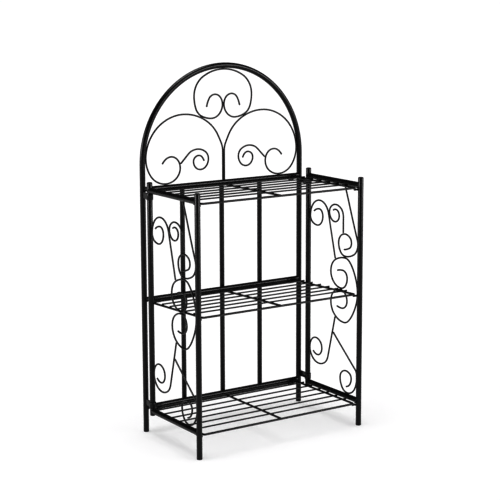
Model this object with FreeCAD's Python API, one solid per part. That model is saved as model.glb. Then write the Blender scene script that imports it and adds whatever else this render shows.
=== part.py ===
"""Folding three-tier plant rack.

An arched back frame carries two scrolled side frames on strap hinges and three
wire shelves that hinge up against it. Millimetres, +Z up, the front towards -Y,
-X on the left. The origin is on the floor, at the centre of the overall box.
"""
import FreeCAD, Part
import cmath
import math
import os

V = FreeCAD.Vector
across_x = V(1, 0, 0)
along_y = V(0, 1, 0)
upward = V(0, 0, 1)

# Stock
tube = 13.0  # outer diameter of the arch, its legs and the side frames' tubes
tube_wall = 1.0
rail = 11.5  # outer diameter of the back rails and the inner uprights
rail_wall = 1.0
scroll_wire = 4.0
seat_gap = 0.2  # left between welded pieces

# Bends, rails and bars are flat-sided with a round's area; uprights and pivots are round.
scroll_sag = 0.9  # largest distance between a scroll's arcs and its chords
scroll_sides = 6
rod_sides = 8
bore_sides = 8
arch_sag = 0.8
arch_sides = 12

# Back frame
leg_spacing = 450.0
arch_centre_height = 644.6
top_rail_height = 588.0
middle_rail_height = 324.3
bottom_rail_height = 60.5
inner_upright_rise = 1.5  # inner uprights' upper ends, above the top rail's axis
left_upright_share = -0.491  # of the half spacing of the legs, across from the centre
centre_upright_share = 0.006
right_upright_share = 0.5

# Side frames
side_frame_offset = 2.5  # a side frame's plane, outside the leg's axis
hinge_setback = 37.0  # rear upright's axis, in front of the leg's axis
side_frame_depth = 210.0
top_bar_height = 590.2
bottom_bar_height = 61.0
upright_rise = 17.3  # uprights' upper ends, above the top bar's axis
rear_upright_drop = 9.5  # rear upright's lower end, below the bottom bar's axis

# Strap hinges
strap_sheet = 1.5
strap_height = 14.5
strap_end_float = 0.5
running_clearance = 0.08

# Shelves
shelf_rod = 5.0  # frame, pivot and middle rods
shelf_wire = 3.5
shelf_wire_count = 6
shelf_wire_overhang = 0.35
shelf_side_gap = 1.5  # between a shelf's side rod and the leg's inner side
shelf_front_setback = 2.0  # front rod's axis, behind the front uprights' axes
shelf_corner_radius = 6.0
shelf_corner_sag = 0.4
top_shelf_tilt = 0.45  # degrees, up at the front
middle_shelf_tilt = 1.9
bottom_shelf_tilt = 0.0
pivot_drop = 5.5  # pivot rod's axis below its rail's axis
fold_gap = 0.5  # between a folded shelf's rods and its rail
clip_sheet = 1.2
clip_width = 14.0
clip_tail_rise = 2.5  # tail's end above the rail's axis
clip_place_share = 0.86  # of the half spacing of the legs

# Shelf rests
rest_rod = 4.5
rest_overlap = 0.5  # peg's end, past the axis of the shelf's side rod
rest_gap = 0.3  # between a shelf's side rod and its peg

# Plugs
foot_height = 4.0
foot_edge = 1.2
cap_rise = 2.5
cap_steps = 2
plug_stem = 8.0
plug_clearance = 0.1

# Routes: places across and up the frame's opening as shares of it, the wire's
# heading in degrees, and the side of the place on which the wire lies where it
# touches something there: 1 left of its heading, -1 right of it, 0 on the place.

# Arch opening: across from the centre to the tube's inside at that height, up
# from the top rail to the arch.
crown_half_shares = (
    (-0.265, 0.661, 80, 0),
    (-0.155, 0.770, 0, 0),
    (0, 0.679, 270, -1),
    (-0.173, 0.558, 180, 0),
    (-0.318, 0.575, 155, -1),
    (-0.528, 0.760, 90, 0),
    (0, 1, 0, -1),
)
arch_scroll_shares = (
    (0, 0, 90, 1),
    (0, 0.257, 90, 1),
    (-0.074, 0.406, 117, 0),
    (-0.318, 0.575, 155, 1),
    (-0.600, 0.609, 180, 0),
    (-1, 0.271, 264, 1),
    (-0.742, 0, 0, 1),
    (-0.559, 0.141, 90, 0),
    (-0.675, 0.243, 180, 0),
    (-0.784, 0.184, 240, 0),
)
arch_curl_shares = (
    (-0.253, 0.184, 110, 0),
    (-0.322, 0.236, 180, 0),
    (-0.389, 0.184, 270, 0),
    (-0.299, 0.109, 0, 0),
    (-0.197, 0.202, 90, 0),
    (-0.340, 0.293, 180, 0),
    (-0.454, 0.257, 225, 0),
    (-0.562, 0.167, 225, 0),
)

# Side frame's opening: across from the front upright to the rear one, up from
# the bottom bar to the top bar.
upper_rear_shares = (
    (0.910, 0.846, 140, 0),
    (0.802, 0.861, 180, 0),
    (0.726, 0.828, 270, 0),
    (0.847, 0.780, 0, 0),
    (1, 0.822, 90, 1),
    (0.790, 0.903, 180, 0),
    (0.596, 0.848, 255.5, 1),
    (0.459, 0.635, 255.5, 0),
)
upper_middle_shares = (
    (0.510, 0.870, 145, 0),
    (0.389, 0.848, 270, 0),
    (0.478, 0.816, 0, 0),
    (0.596, 0.848, 75.5, 1),
    (0.459, 0.899, 180, 0),
    (0.304, 0.848, 270, 0),
    (0.304, 0.750, 270, 0),
)
upper_front_shares = (
    (0.282, 0.693, 170, 0),
    (0.138, 0.731, 90, 0),
    (0.262, 0.768, 0, 0),
    (0.396, 0.722, 270, 0),
    (0.264, 0.658, 180, -1),
    (0, 0.731, 90, -1),
    (0.046, 0.775, 67.6, 0),
    (0.290, 1.012, 67.6, 0),
)
middle_shares = (
    (0.415, 0.586, 162, 0),
    (0.307, 0.592, 180, 0),
    (0.218, 0.557, 270, 0),
    (0.345, 0.500, 0, 1),
    (0.552, 0.576, 90, 0),
    (0.264, 0.658, 180, 1),
    (0.107, 0.612, 237, 0),
    (0, 0.500, 270, 1),
    (0.112, 0.388, 304, 0),
    (0.282, 0.342, 0, 0),
    (0.548, 0.430, 90, 0),
    (0.345, 0.500, 180, 1),
    (0.218, 0.448, 270, 0),
    (0.332, 0.408, 0, 0),
    (0.421, 0.413, 16, 0),
)
lower_rear_shares = (
    (0.917, 0.154, 222, 0),
    (0.828, 0.140, 180, 0),
    (0.732, 0.179, 90, 0),
    (0.859, 0.223, 0, 0),
    (1, 0.169, 270, -1),
    (0.795, 0.099, 180, 0),
    (0.602, 0.150, 104.6, 0),
    (0.453, 0.366, 104.6, 0),
)
lower_front_shares = (
    (0.218, 0.034, 170, 0),
    (0.119, 0.080, 90, 0),
    (0.226, 0.110, 0, 0),
    (0.345, 0.070, 270, 0),
    (0.200, 0, 180, -1),
    (0, 0.087, 90, -1),
    (0.040, 0.131, 40.1, 0),
    (0.520, 0.286, 40.1, 0),
)
butt_share = 0.75  # of the touching spacing, from a butted wire's end to the other's axis
butt_halvings = 40  # of the last run, to find where it is cut

# Places that follow from the sizes above
leg_x = leg_spacing / 2
side_x = leg_x + side_frame_offset
rear_y = -hinge_setback
front_y = rear_y - side_frame_depth
side_frame_height = top_bar_height + upright_rise
rear_upright_start = bottom_bar_height - rear_upright_drop
touch_spacing = scroll_wire + seat_gap
inner_upright_y = rail + seat_gap
inner_upright_x = {
    "left": left_upright_share * leg_x,
    "centre": centre_upright_share * leg_x,
    "right": right_upright_share * leg_x,
}
shelf_half_width = leg_x - tube / 2 - shelf_side_gap - shelf_rod / 2
shelf_front_y = front_y + shelf_front_setback
clip_ring = shelf_rod + 2 * (running_clearance + clip_sheet)
pivot_y = -(rail + shelf_rod) / 2 - fold_gap
rest_start = scroll_wire / 2 + 2 * seat_gap
rest_y = front_y + math.sqrt((tube / 2 + seat_gap) ** 2 - rest_start**2) + rest_rod / 2
rest_drop = (shelf_rod + rest_rod) / 2 + rest_gap
depth_shift = (tube / 2 - front_y - inner_upright_y - rail / 2) / 2
rail_heights = {
    "top": top_rail_height,
    "middle": middle_rail_height,
    "bottom": bottom_rail_height,
}
shelf_tilts = {
    "top": top_shelf_tilt,
    "middle": middle_shelf_tilt,
    "bottom": bottom_shelf_tilt,
}


def ring_of(centre, heading, normal, diameter, sides):
    """Corners across a rod, with the area of its round and a flat square to normal's side."""
    side = normal.cross(heading)
    spread = math.sqrt(2 * math.pi / sides / math.sin(2 * math.pi / sides))
    corners = []
    for index in range(sides):
        turn = 2 * math.pi * (index + 0.5) / sides
        out = side * math.cos(turn) + normal * math.sin(turn)
        corners.append(centre + out * (spread * diameter / 2))
    return corners


def outline(corners):
    return Part.makePolygon(corners + corners[:1])


def faceted(rings):
    """Solid with flat facets between matching rings of corners and across both ends."""
    faces = [Part.Face(outline(rings[0])), Part.Face(outline(rings[-1]))]
    for low, high in zip(rings, rings[1:]):
        for index in range(len(low)):
            corners = [low[index - 1], low[index], high[index], high[index - 1]]
            faces.append(Part.Face(outline(corners)))
    solid = Part.makeSolid(Part.makeShell(faces))
    return solid if solid.Volume > 0 else solid.reversed()


def prism(start, run, diameter, sides):
    """Straight flat-sided rod."""
    heading = V(run).normalize()
    normal = upward if abs(heading.z) < 0.5 else across_x
    return Part.Face(outline(ring_of(start, heading, normal, diameter, sides))).extrude(run)


def straight_tube(start, end, diameter, wall):
    """Round tube between two points, its bore flat-sided and open at both ends."""
    run = end - start
    outside = Part.makeCylinder(diameter / 2, run.Length, start, run)
    return outside.cut(prism(start, run, diameter - 2 * wall, bore_sides))


def weld_room(start, end, diameter):
    """Shape that a coped end is cut with, a seat gap wider than the tube it meets."""
    return prism(start, end - start, diameter + 2 * seat_gap, arch_sides)


def coped_tube(start, end, diameter, wall):
    """Flat-sided tube between the axes of two upright tubes, its ends coped to them."""
    run = end - start
    shape = prism(start, run, diameter, arch_sides)
    shape = shape.cut(prism(start, run, diameter - 2 * wall, bore_sides))
    for place in (start, end):
        shape = shape.cut(weld_room(place - upward * diameter, place + upward * diameter, tube))
    return shape


def bent_rod(points, diameter, normal, sides):
    """Rod of straight chords, mitred at each point of a route that lies flat across normal."""
    heading = (points[1] - points[0]).normalize()
    section = outline(ring_of(points[0], heading, normal, diameter, sides))
    return Part.makePolygon(points).makePipeShell([section], True, False, 1)


def heading_of(degrees):
    return cmath.rect(1, math.radians(degrees))


def along(step, heading):
    """Length of a step measured along a heading."""
    return (step * heading.conjugate()).real


def arc_chords(start, heading, end, sag):
    """Points after start on the arc that leaves it along heading and reaches end."""
    step = end - start
    half_turn = cmath.phase(step / heading)
    if abs(half_turn) < sag / abs(step):
        return [end]
    radius = abs(step / 2 / math.sin(half_turn))
    chord_turn = 2 * math.acos(1 - sag / radius)
    count = math.ceil(abs(2 * half_turn) / chord_turn)
    points = []
    for index in range(1, count + 1):
        part_turn = half_turn * index / count
        reach = abs(step) * math.sin(part_turn) / math.sin(half_turn)
        points.append(start + cmath.rect(reach, cmath.phase(heading) + part_turn))
    return points


def smooth_route(nodes, sag):
    """Chords of a route that joins each node to the next by two arcs, all tangent."""
    points = [nodes[0][0]]
    for (start, out), (end, into) in zip(nodes, nodes[1:]):
        step = end - start
        both = along(step, out + into)
        bend = 2 * (1 - along(out, into))
        arm = abs(step) ** 2 / (both + math.sqrt(both**2 + bend * abs(step) ** 2))
        middle = (start + arm * out + end - arm * into) / 2
        points += arc_chords(start, out, middle, sag)
        points += arc_chords(middle, leaving(start, out, middle), end, sag)
    return points


def leaving(start, heading, end):
    """Heading at the end of the arc that leaves start along heading."""
    step = end - start
    return (step / abs(step)) ** 2 / heading


def touching(place, degrees, side):
    """Node of a wire that lies on one side of the place where it touches something."""
    heading = heading_of(degrees)
    return place + side * 1j * heading * (touch_spacing / 2), heading


def arch_nodes(rows):
    """Nodes of a route in the arch, from its shares: real part X, imaginary part Z."""
    low = top_rail_height + (rail + seat_gap) / 2
    inside = leg_x - (tube + seat_gap) / 2
    high = arch_centre_height + inside
    nodes = []
    for across_share, up_share, degrees, side in rows:
        height = low + up_share * (high - low)
        over = max(height - arch_centre_height, 0)
        half_width = math.sqrt(max(inside**2 - over**2, 0))
        nodes.append(touching(complex(across_share * half_width, height), degrees, side))
    return nodes


def side_nodes(rows):
    """Nodes of a route in a side frame, from its shares: real part Y, imaginary part Z."""
    wall = (tube + seat_gap) / 2
    corner = complex(front_y + wall, bottom_bar_height + wall)
    far = complex(rear_y - wall, top_bar_height - wall)
    nodes = []
    for across_share, up_share, degrees, side in rows:
        place = corner + across_share * (far - corner).real + up_share * (far - corner).imag * 1j
        nodes.append(touching(place, degrees, side))
    return nodes


def distance_to(point, route):
    """Distance of a point from a route of chords."""
    nearest = []
    for start, end in zip(route, route[1:]):
        share = along(point - start, end - start) / abs(end - start) ** 2
        nearest.append(abs(point - start - min(max(share, 0), 1) * (end - start)))
    return min(nearest)


def butted(route, other, spacing):
    """Route whose last run is shortened until its end keeps the spacing from another."""
    back, end = route[-2:]
    near_share, far_share = 0, 1
    for _ in range(butt_halvings):
        share = (near_share + far_share) / 2
        if distance_to(back + share * (end - back), other) > spacing:
            near_share = share
        else:
            far_share = share
    return route[:-1] + [back + near_share * (end - back)]


def in_arch(route):
    return [V(p.real, 0, p.imag) for p in route]


def mirrored(route):
    return [complex(-p.real, p.imag) for p in route]


def scroll(points, normal):
    return bent_rod(points, scroll_wire, normal, scroll_sides)


def arch_scrolls():
    """The crown wire, and a scroll and a curl on each side of it."""
    half_crown = smooth_route(arch_nodes(crown_half_shares), scroll_sag)
    crown = half_crown + mirrored(half_crown)[-2::-1]
    left_scroll = smooth_route(arch_nodes(arch_scroll_shares), scroll_sag)
    left_curl = smooth_route(arch_nodes(arch_curl_shares), scroll_sag)
    left_curl = butted(left_curl, left_scroll, butt_share * touch_spacing)
    return {
        "arch_scroll_crown": scroll(in_arch(crown), along_y),
        "arch_scroll_left": scroll(in_arch(left_scroll), along_y),
        "arch_scroll_right": scroll(in_arch(mirrored(left_scroll)), along_y),
        "arch_curl_left": scroll(in_arch(left_curl), along_y),
        "arch_curl_right": scroll(in_arch(mirrored(left_curl)), along_y),
    }


def side_routes():
    """Routes of a side frame's six wires, each welded to the one that it meets."""
    tables = {
        "upper_rear": upper_rear_shares,
        "upper_middle": upper_middle_shares,
        "upper_front": upper_front_shares,
        "middle": middle_shares,
        "lower_rear": lower_rear_shares,
        "lower_front": lower_front_shares,
    }
    routes = {name: smooth_route(side_nodes(rows), scroll_sag) for name, rows in tables.items()}
    top_bar_axis = [complex(front_y, top_bar_height), complex(rear_y, top_bar_height)]
    butt = butt_share * touch_spacing
    meets = {
        "upper_rear": (routes["middle"], butt),
        "upper_middle": (routes["upper_front"], butt),
        "upper_front": (top_bar_axis, (tube - scroll_wire) / 2 + butt),
        "lower_rear": (routes["middle"], butt),
        "lower_front": (routes["lower_rear"], butt),
    }
    for name, (other, spacing) in meets.items():
        routes[name] = butted(routes[name], other, spacing)
    return routes


def back_tube():
    """One tube bent round: a leg, the arch and the other leg."""
    foot_end = complex(-leg_x, foot_height)
    spring = complex(-leg_x, arch_centre_height)
    arch = arc_chords(spring, 1j, complex(leg_x, arch_centre_height), arch_sag)
    points = in_arch([foot_end, spring] + arch + [complex(leg_x, foot_height)])
    outside = bent_rod(points, tube, along_y, arch_sides)
    return outside.cut(bent_rod(points, tube - 2 * tube_wall, along_y, bore_sides))


def inner_uprights():
    """Uprights welded behind the rails."""
    shapes = {}
    for place, x in inner_upright_x.items():
        low = V(x, inner_upright_y, bottom_rail_height - rail / 2)
        high = V(x, inner_upright_y, top_rail_height + inner_upright_rise)
        shapes["back_upright_" + place] = straight_tube(low, high, rail, rail_wall)
    return shapes


def ring_at(x, y, z, diameter):
    return ring_of(V(x, y, z), upward, across_x, diameter, arch_sides)


def plug_stem_at(x, y, start_height, rise):
    """Stem that holds a plug in a tube's end."""
    diameter = tube - 2 * (tube_wall + plug_clearance)
    return prism(V(x, y, start_height), upward * rise, diameter, bore_sides)


def foot(x, y):
    """Flat foot plug with a bevelled edge, in the lower end of an upright."""
    rings = [
        ring_at(x, y, 0, tube - 2 * foot_edge),
        ring_at(x, y, foot_edge, tube),
        ring_at(x, y, foot_height, tube),
    ]
    return faceted(rings).fuse(plug_stem_at(x, y, foot_height, plug_stem))


def cap(x, y, end_height, up):
    """Domed plug in an upright's end; up is 1 for an upper end and -1 for a lower one."""
    rings = []
    for step in range(cap_steps + 1):
        turn = math.pi / 2 * step / (cap_steps + 0.5)
        rise = up * cap_rise * math.sin(turn)
        rings.append(ring_at(x, y, end_height + rise, tube * math.cos(turn)))
    return faceted(rings).fuse(plug_stem_at(x, y, end_height, -up * plug_stem))


def hinge_strap(sign, low):
    """Strap bent round a side frame's rear upright, its tail coped to the leg."""
    pin = V(sign * side_x, rear_y, low)
    rise = upward * strap_height
    bore = tube / 2 + running_clearance
    ring = prism(pin, rise, 2 * (bore + strap_sheet), arch_sides)
    tail = Part.makeBox(2 * strap_sheet, hinge_setback, strap_height, pin - across_x * strap_sheet)
    shape = ring.fuse(tail).cut(Part.makeCylinder(bore, strap_height, pin, upward))
    leg = V(sign * leg_x, 0, low)
    return shape.cut(weld_room(leg, leg + rise, tube)).removeSplitter()


def shelf_clips(rail_height):
    """Sheet clips on a rail's front, each an eye for the pivot rod and a welded tail."""
    tail_back = -(rail / 2 + seat_gap)
    tail_height = pivot_drop + clip_tail_rise
    clips = []
    for sign in (-1, 1):
        start_x = sign * clip_place_share * leg_x - clip_width / 2
        eye = V(start_x, pivot_y, rail_height - pivot_drop)
        ring = prism(eye, across_x * clip_width, clip_ring, rod_sides)
        corner = V(start_x, tail_back - clip_sheet, rail_height - pivot_drop)
        tail = Part.makeBox(clip_width, clip_sheet, tail_height, corner)
        hole = Part.makeCylinder(clip_ring / 2 - clip_sheet, clip_width, eye, across_x)
        clips.append(ring.fuse(tail).cut(hole).removeSplitter())
    return Part.makeCompound(clips)


def side_frame(side, sign):
    """A side frame: two uprights, two bars, six scrolls, plugs and shelf rests."""
    x = sign * side_x
    front_low, front_high = V(x, front_y, foot_height), V(x, front_y, side_frame_height)
    rear_low, rear_high = V(x, rear_y, rear_upright_start), V(x, rear_y, side_frame_height)
    shapes = {
        side + "_front_upright": straight_tube(front_low, front_high, tube, tube_wall),
        side + "_rear_upright": straight_tube(rear_low, rear_high, tube, tube_wall),
        side + "_foot": foot(x, front_y),
        side + "_caps": Part.makeCompound([
            cap(x, front_y, side_frame_height, 1),
            cap(x, rear_y, side_frame_height, 1),
            cap(x, rear_y, rear_upright_start, -1),
        ]),
        side + "_shelf_rests": Part.makeCompound([shelf_rest(place, sign) for place in rail_heights]),
    }
    for place, height in (("top", top_bar_height), ("bottom", bottom_bar_height)):
        ends = V(x, front_y, height), V(x, rear_y, height)
        shapes[side + "_" + place + "_bar"] = coped_tube(*ends, tube, tube_wall)
    for name, route in side_routes().items():
        points = [V(x, p.real, p.imag) for p in route]
        shapes[side + "_scroll_" + name] = scroll(points, across_x)
    return shapes


def shelf_rest(place, sign):
    """Peg behind a front upright, under the shelf's side rod."""
    tilt = math.radians(shelf_tilts[place])
    rod_height = rail_heights[place] - pivot_drop + (pivot_y - rest_y) * math.tan(tilt)
    start = V(sign * (side_x - rest_start), rest_y, rod_height - rest_drop)
    end_x = sign * (shelf_half_width - rest_overlap)
    return prism(start, across_x * (end_x - start.x), rest_rod, rod_sides)


def shelf(place, rail_height):
    """A shelf: pivot rod, bent frame, middle rod and the wires on top of them."""
    height = rail_height - pivot_drop
    half, front = shelf_half_width, shelf_front_y
    back = pivot_y - shelf_rod / 2 - seat_gap
    corner = shelf_corner_radius
    nodes = (
        (complex(-half, back), -1j),
        (complex(-half, front + corner), -1j),
        (complex(corner - half, front), 1),
        (complex(half - corner, front), 1),
        (complex(half, front + corner), 1j),
        (complex(half, back), 1j),
    )
    frame_route = [V(p.real, p.imag, height) for p in smooth_route(nodes, shelf_corner_sag)]
    pivot = V(-half - shelf_rod / 2, pivot_y, height)
    middle_back = V(0, back, height)
    middle_front = V(0, front + shelf_rod / 2 + seat_gap, height)
    wire_height = height + (shelf_rod + shelf_wire) / 2 + seat_gap
    wire_half = half + shelf_rod / 2 + shelf_wire_overhang
    wires = []
    for index in range(shelf_wire_count):
        y = front * ((index + 1) / (shelf_wire_count + 1))
        ends = [V(-wire_half, y, wire_height), V(wire_half, y, wire_height)]
        wires.append(prism(ends[0], ends[1] - ends[0], shelf_wire, rod_sides))
    shapes = {
        "shelf_pivot_" + place: Part.makeCylinder(shelf_rod / 2, 2 * half + shelf_rod, pivot, across_x),
        "shelf_frame_" + place: bent_rod(frame_route, shelf_rod, upward, rod_sides),
        "shelf_middle_" + place: prism(middle_back, middle_front - middle_back, shelf_rod, rod_sides),
        "shelf_wires_" + place: Part.makeCompound(wires),
    }
    for shape in shapes.values():
        shape.rotate(pivot, across_x, -shelf_tilts[place])
    return shapes


def back_frame():
    """The arched frame with its rails, uprights, scrolls, straps, clips and feet."""
    top_strap = top_bar_height - tube / 2 - strap_end_float - strap_height
    bottom_strap = bottom_bar_height + tube / 2 + strap_end_float
    shapes = {"back_arch_tube": back_tube()}
    shapes["back_feet"] = Part.makeCompound([foot(-leg_x, 0), foot(leg_x, 0)])
    for place, height in rail_heights.items():
        ends = V(-leg_x, 0, height), V(leg_x, 0, height)
        shapes["back_rail_" + place] = coped_tube(*ends, rail, rail_wall)
        shapes["shelf_clips_" + place] = shelf_clips(height)
    shapes.update(inner_uprights())
    shapes.update(arch_scrolls())
    for side, sign in (("left", -1), ("right", 1)):
        shapes["hinge_strap_" + side + "_top"] = hinge_strap(sign, top_strap)
        shapes["hinge_strap_" + side + "_bottom"] = hinge_strap(sign, bottom_strap)
    return shapes


def rack():
    shapes = back_frame()
    shapes.update(side_frame("left", -1))
    shapes.update(side_frame("right", 1))
    for place, height in rail_heights.items():
        shapes.update(shelf(place, height))
    return shapes


def main():
    os.makedirs("parts", exist_ok=True)
    for name, shape in rack().items():
        shape.translate(along_y * depth_shift)
        shape.exportStep("parts/" + name + ".step")
    print("back legs' plane at y =", round(depth_shift, 3))
    print("shelf pivots", round(pivot_y, 3), "from it; rests", round(rest_drop, 3), "under the frames")


main()
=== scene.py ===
"""Looks of the folding three-tier plant rack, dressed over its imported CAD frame.

Sizes are millimetres until a mesh is made, which is in metres. +Z is up and the front is
towards -Y. Depths count from the back legs' plane, which runs through the middle of the
CAD arch tube.
"""
import cmath
import logging
import math
from dataclasses import dataclass, field
from enum import Enum
from typing import Callable, Iterable, Sequence

import bmesh
import bpy
from mathutils import Matrix, Vector


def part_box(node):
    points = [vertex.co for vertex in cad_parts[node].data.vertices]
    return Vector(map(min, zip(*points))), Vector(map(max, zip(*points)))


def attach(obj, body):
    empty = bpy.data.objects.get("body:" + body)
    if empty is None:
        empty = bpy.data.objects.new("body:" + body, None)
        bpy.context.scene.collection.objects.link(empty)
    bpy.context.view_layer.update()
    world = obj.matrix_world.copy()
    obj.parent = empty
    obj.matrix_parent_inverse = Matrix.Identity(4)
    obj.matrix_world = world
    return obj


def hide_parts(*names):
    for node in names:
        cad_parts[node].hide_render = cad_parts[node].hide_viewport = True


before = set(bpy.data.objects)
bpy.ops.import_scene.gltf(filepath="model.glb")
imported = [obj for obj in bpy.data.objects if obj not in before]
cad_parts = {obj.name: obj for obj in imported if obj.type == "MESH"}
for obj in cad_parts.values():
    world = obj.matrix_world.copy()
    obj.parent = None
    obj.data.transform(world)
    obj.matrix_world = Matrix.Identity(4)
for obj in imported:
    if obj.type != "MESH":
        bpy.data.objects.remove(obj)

log = logging.getLogger("plant_rack")

METRES = 0.001
MERGE = METRES / 500
ACROSS = Vector((1, 0, 0))
DEPTH = Vector((0, 1, 0))
UP = Vector((0, 0, 1))
SIDES = {"left": -1, "right": 1}
Socket = bpy.types.NodeSocket
Colour = tuple[float, float, float, float]
Row = tuple[float, float, float, int]
Shape = tuple[list[Vector], list[list[int]]]


class Slot(Enum):
    """Material slots of the record."""

    METAL = "black_metal"
    PLASTIC = "plugs"


class Graph:
    """Adds nodes to one node tree and links them."""

    def __init__(self, tree: bpy.types.NodeTree) -> None:
        """Keeps the tree to add to."""
        self.tree = tree

    def add(self, kind: str, feeds: dict[str, object] | None = None,
            **settings: object) -> bpy.types.Node:
        """Adds a node.

        Args:
            kind: Type name of the node.
            feeds: A socket or a plain value for inputs, by name or identifier.
            settings: The node's own properties.

        Returns:
            The new node.
        """
        node = self.tree.nodes.new(kind)
        for name, value in settings.items():
            setattr(node, name, value)
        for key, value in (feeds or {}).items():
            socket = next(s for s in node.inputs if key in (s.identifier, s.name))
            if isinstance(value, Socket):
                self.tree.links.new(value, socket)
            else:
                socket.default_value = value
        return node

    def calculate(self, operation: str, *values: object) -> Socket:
        """Adds a math node.

        Args:
            operation: Name of the operation.
            values: Its two or three values, each a number or a socket.

        Returns:
            The result.
        """
        feeds = dict(zip(("Value", "Value_001", "Value_002"), values))
        return self.add("ShaderNodeMath", feeds, operation=operation).outputs[0]

    def noise(self, place: Socket, waves: float, detail: float) -> Socket:
        """Adds a noise texture.

        Args:
            place: Coordinates that it reads.
            waves: Waves a metre.
            detail: Octaves.

        Returns:
            The noise's value, about 0.5.
        """
        feeds = {"Vector": place, "Scale": waves, "Detail": detail}
        return self.add("ShaderNodeTexNoise", feeds).outputs["Fac"]

    def spread(self, value: Socket, low: float, high: float,
               start: float = 0.3, end: float = 0.7) -> Socket:
        """Maps a value to a range.

        Args:
            value: The value to map.
            low: Result at start.
            high: Result at end.
            start: Value that gives low.
            end: Value that gives high.

        Returns:
            The mapped value.
        """
        feeds = {"Value": value, "From Min": start, "From Max": end, "To Min": low, "To Max": high}
        return self.add("ShaderNodeMapRange", feeds).outputs["Result"]

    def blend(self, share: Socket, first: object, second: object) -> Socket:
        """Mixes two colours.

        Args:
            share: Share of the second colour.
            first: First colour, or a socket with it.
            second: Second colour, or a socket with it.

        Returns:
            The mixed colour.
        """
        feeds = {"Factor_Float": share, "A_Color": first, "B_Color": second}
        node = self.add("ShaderNodeMix", feeds, data_type="RGBA")
        return next(s for s in node.outputs if s.identifier == "Result_Color")

    def bump(self, height: Socket, strength: float, depth: float,
             under: Socket | None = None) -> Socket:
        """Adds a bump.

        Args:
            height: Height of the relief, from 0 to 1.
            strength: Share of it that shows.
            depth: Metres that a height of 1 stands for.
            under: Normal of the bump that this one lies on, if there is one.

        Returns:
            The bumped normal.
        """
        feeds = {"Strength": strength, "Distance": depth, "Height": height}
        if under is not None:
            feeds["Normal"] = under
        return self.add("ShaderNodeBump", feeds).outputs[0]


class Finish:
    """Shared start and end of every finish's material."""

    def start(self, name: str) -> tuple[bpy.types.Material, Graph, Socket]:
        """Makes an empty material.

        Args:
            name: The material's name.

        Returns:
            The material, its graph and the object coordinates.
        """
        material = bpy.data.materials.new(name)
        material.use_nodes = True
        material.node_tree.nodes.clear()
        graph = Graph(material.node_tree)
        return material, graph, graph.add("ShaderNodeTexCoord").outputs["Object"]

    def end(self, graph: Graph, feeds: dict[str, object]) -> None:
        """Adds the surface shader with its inputs and closes the material."""
        shader = graph.add("ShaderNodeBsdfPrincipled", feeds)
        graph.add("ShaderNodeOutputMaterial", {"Surface": shader.outputs[0]})


@dataclass(frozen=True)
class PowderCoat(Finish):
    """Satin black powder coat on steel: orange peel, uneven gloss, thin dust on top.

    Each noise is its waves a metre and its octaves.
    """

    name: str = "black_powder_coat"
    deep: Colour = (0.0034, 0.0033, 0.0036, 1)
    worn: Colour = (0.0078, 0.0075, 0.0080, 1)
    wear_noise: tuple[float, float] = (38, 4)
    gloss: tuple[float, float] = (0.20, 0.31)
    specular: float = 0.42
    dust: Colour = (0.034, 0.033, 0.031, 1)
    dust_noise: tuple[float, float] = (130, 3)
    dust_share: float = 0.16
    dust_slope: tuple[float, float] = (0.55, 1)
    dust_patches: tuple[float, float] = (0.42, 0.62)
    peel_noise: tuple[float, float] = (620, 1)
    peel_strength: float = 0.55
    peel_depth: float = 0.00003
    grain_noise: tuple[float, float] = (2600, 0)
    grain_strength: float = 0.25
    grain_depth: float = 0.00001

    def material(self) -> bpy.types.Material:
        """Builds the material.

        Returns:
            The material.
        """
        material, graph, place = self.start(self.name)
        wear = graph.noise(place, *self.wear_noise)
        cloud = graph.noise(place, *self.dust_noise)
        colour = graph.blend(graph.spread(wear, 0, 1), self.deep, self.worn)
        normal = graph.add("ShaderNodeNewGeometry").outputs["Normal"]
        facing = graph.add("ShaderNodeSeparateXYZ", {"Vector": normal}).outputs["Z"]
        upward = graph.spread(facing, 0, self.dust_share, *self.dust_slope)
        patches = graph.spread(cloud, 0, 1, *self.dust_patches)
        settled = graph.calculate("MULTIPLY", upward, patches)
        peel = graph.bump(graph.noise(place, *self.peel_noise), self.peel_strength, self.peel_depth)
        grain = graph.noise(place, *self.grain_noise)
        self.end(graph, {
            "Base Color": graph.blend(settled, colour, self.dust),
            "Roughness": graph.calculate("ADD", graph.spread(cloud, *self.gloss), settled),
            "Normal": graph.bump(grain, self.grain_strength, self.grain_depth, peel),
            "Specular IOR Level": self.specular})
        return material


@dataclass(frozen=True)
class MouldedPlastic(Finish):
    """Black moulded plastic of the plugs: duller than the coat, with a fine grain.

    Each noise is its waves a metre and its octaves.
    """

    name: str = "black_moulded_plastic"
    deep: Colour = (0.0070, 0.0070, 0.0075, 1)
    scuffed: Colour = (0.022, 0.021, 0.020, 1)
    scuff_noise: tuple[float, float] = (210, 4)
    scuff_share: float = 0.5
    scuff_patches: tuple[float, float] = (0.5, 0.75)
    gloss: tuple[float, float] = (0.46, 0.62)
    specular: float = 0.4
    grain_noise: tuple[float, float] = (1500, 2)
    grain_strength: float = 0.5
    grain_depth: float = 0.00004

    def material(self) -> bpy.types.Material:
        """Builds the material.

        Returns:
            The material.
        """
        material, graph, place = self.start(self.name)
        cloud = graph.noise(place, *self.scuff_noise)
        scuffs = graph.spread(cloud, 0, self.scuff_share, *self.scuff_patches)
        grain = graph.noise(place, *self.grain_noise)
        self.end(graph, {
            "Base Color": graph.blend(scuffs, self.deep, self.scuffed),
            "Roughness": graph.spread(cloud, *self.gloss),
            "Normal": graph.bump(grain, self.grain_strength, self.grain_depth),
            "Specular IOR Level": self.specular})
        return material


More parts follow.
